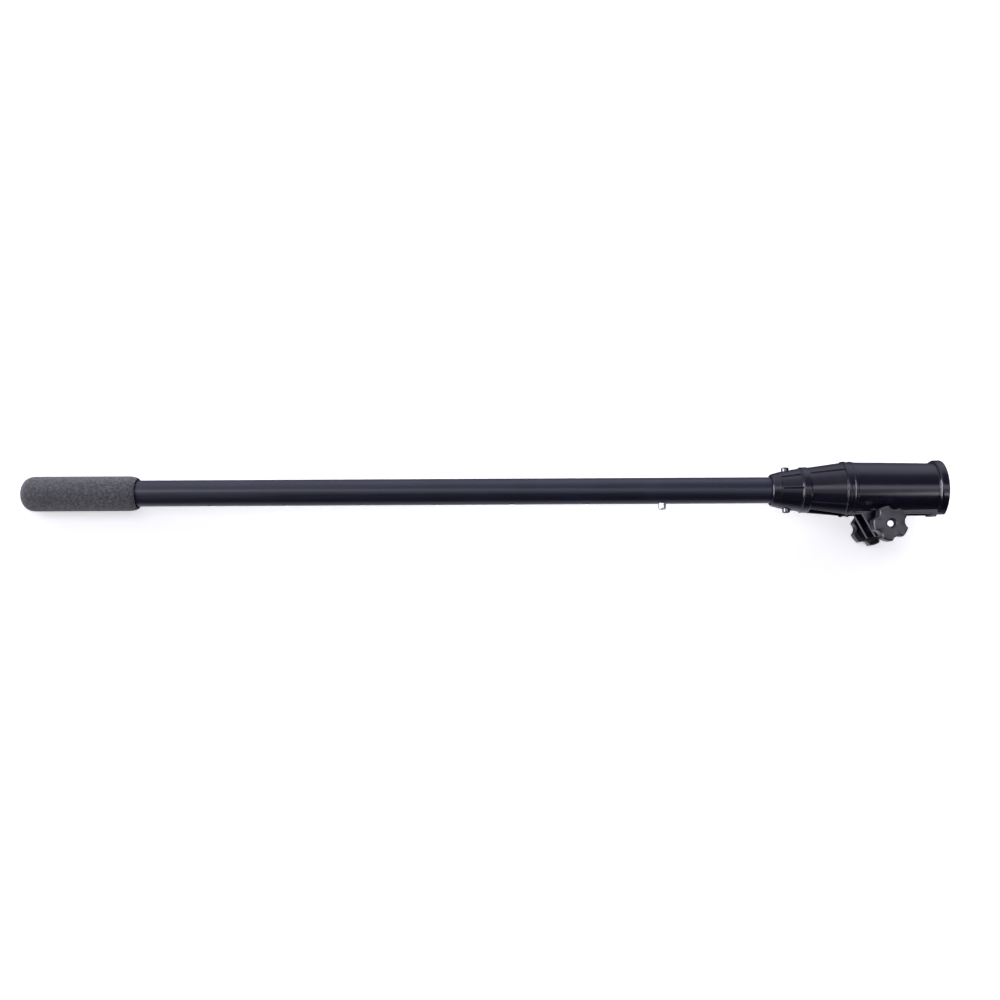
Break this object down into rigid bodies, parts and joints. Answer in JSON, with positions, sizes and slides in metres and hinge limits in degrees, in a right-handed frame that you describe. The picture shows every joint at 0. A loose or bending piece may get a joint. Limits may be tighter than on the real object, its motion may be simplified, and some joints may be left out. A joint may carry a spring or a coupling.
{
  "type": "telescoping tiller extension handle",
  "caption": "Telescoping extension handle for an outboard tiller: foam grip, sliding snap-lock tube and a split clamp socket with star knobs.",
  "frame": {"origin": "centre of the clamp socket's open mouth, on the tube's centre line", "axes": "+X out of the socket's mouth along the centre line (the tubes run along -X), +Y away from the clamp ears, +Z along the clamp screw towards the removable knob"},
  "size_m": [0.7755, 0.0701, 0.0684],
  "materials": {
    "grip_foam": "matt closed-cell foam, charcoal",
    "tube_anodised": "satin blue-black anodised",
    "inner_tube_anodised": "satin blue-black anodised",
    "stainless": "bright stainless",
    "spring_steel": "plain spring strip",
    "zinc_plate": "dull zinc plate",
    "screw_steel": "dull dark plating",
    "socket_plastic": "moulded black, semi-gloss",
    "liner_rubber": "matt black rubber",
    "knob_plastic": "moulded dark grey, satin",
    "plug_plastic": "moulded black"
  },
  "bodies": {
    "socket": {"socket_body": "socket_plastic", "socket_liner": "liner_rubber", "outer_tube": "tube_anodised", "tube_anchor_plug": "plug_plastic", "collar_screws": "screw_steel"},
    "extension": {"inner_tube": "inner_tube_anodised", "foam_grip": "grip_foam", "grip_end_plug": "plug_plastic", "inner_tube_tail_plug": "plug_plastic", "button_spring": "spring_steel"},
    "button": {"snap_button": "stainless"},
    "clamp_screw": {"clamp_stud": "stainless", "lower_knob": "knob_plastic", "lower_washer": "zinc_plate"},
    "knob_washer": {"upper_washer": "zinc_plate"},
    "release_knob": {"upper_knob": "knob_plastic", "upper_knob_insert": "zinc_plate"}
  },
  "joints": [
    {"name": "tube_extend", "type": "slide", "parent": "socket", "child": "extension", "axis": [-1, 0, 0], "range_m": [0, 0.381]},
    {"name": "button_press", "type": "slide", "parent": "extension", "child": "button", "axis": [0, 1, 0], "range_m": [0, 0.0067], "stiffness_N_per_m": 900, "springref_m": -0.003, "deforming": ["button_spring"]},
    {"name": "clamp_screw_turn", "type": "hinge", "parent": "socket", "child": "clamp_screw", "pos_m": [-0.052, -0.031, 0], "axis": [0, 0, 1], "continuous": true},
    {"name": "release_knob_lift", "type": "slide", "parent": "clamp_screw", "child": "knob_washer", "axis": [0, 0, 1], "range_m": [0, 0.003]},
    {"name": "release_knob_turn", "type": "hinge", "parent": "knob_washer", "child": "release_knob", "pos_m": [-0.052, -0.031, 0.02], "axis": [0, 0, 1], "range_deg": [0, 1080]}
  ],
  "couplings": [
    {"joint": "release_knob_turn", "follows": "release_knob_lift", "rad_per_m": 6283}
  ]
}
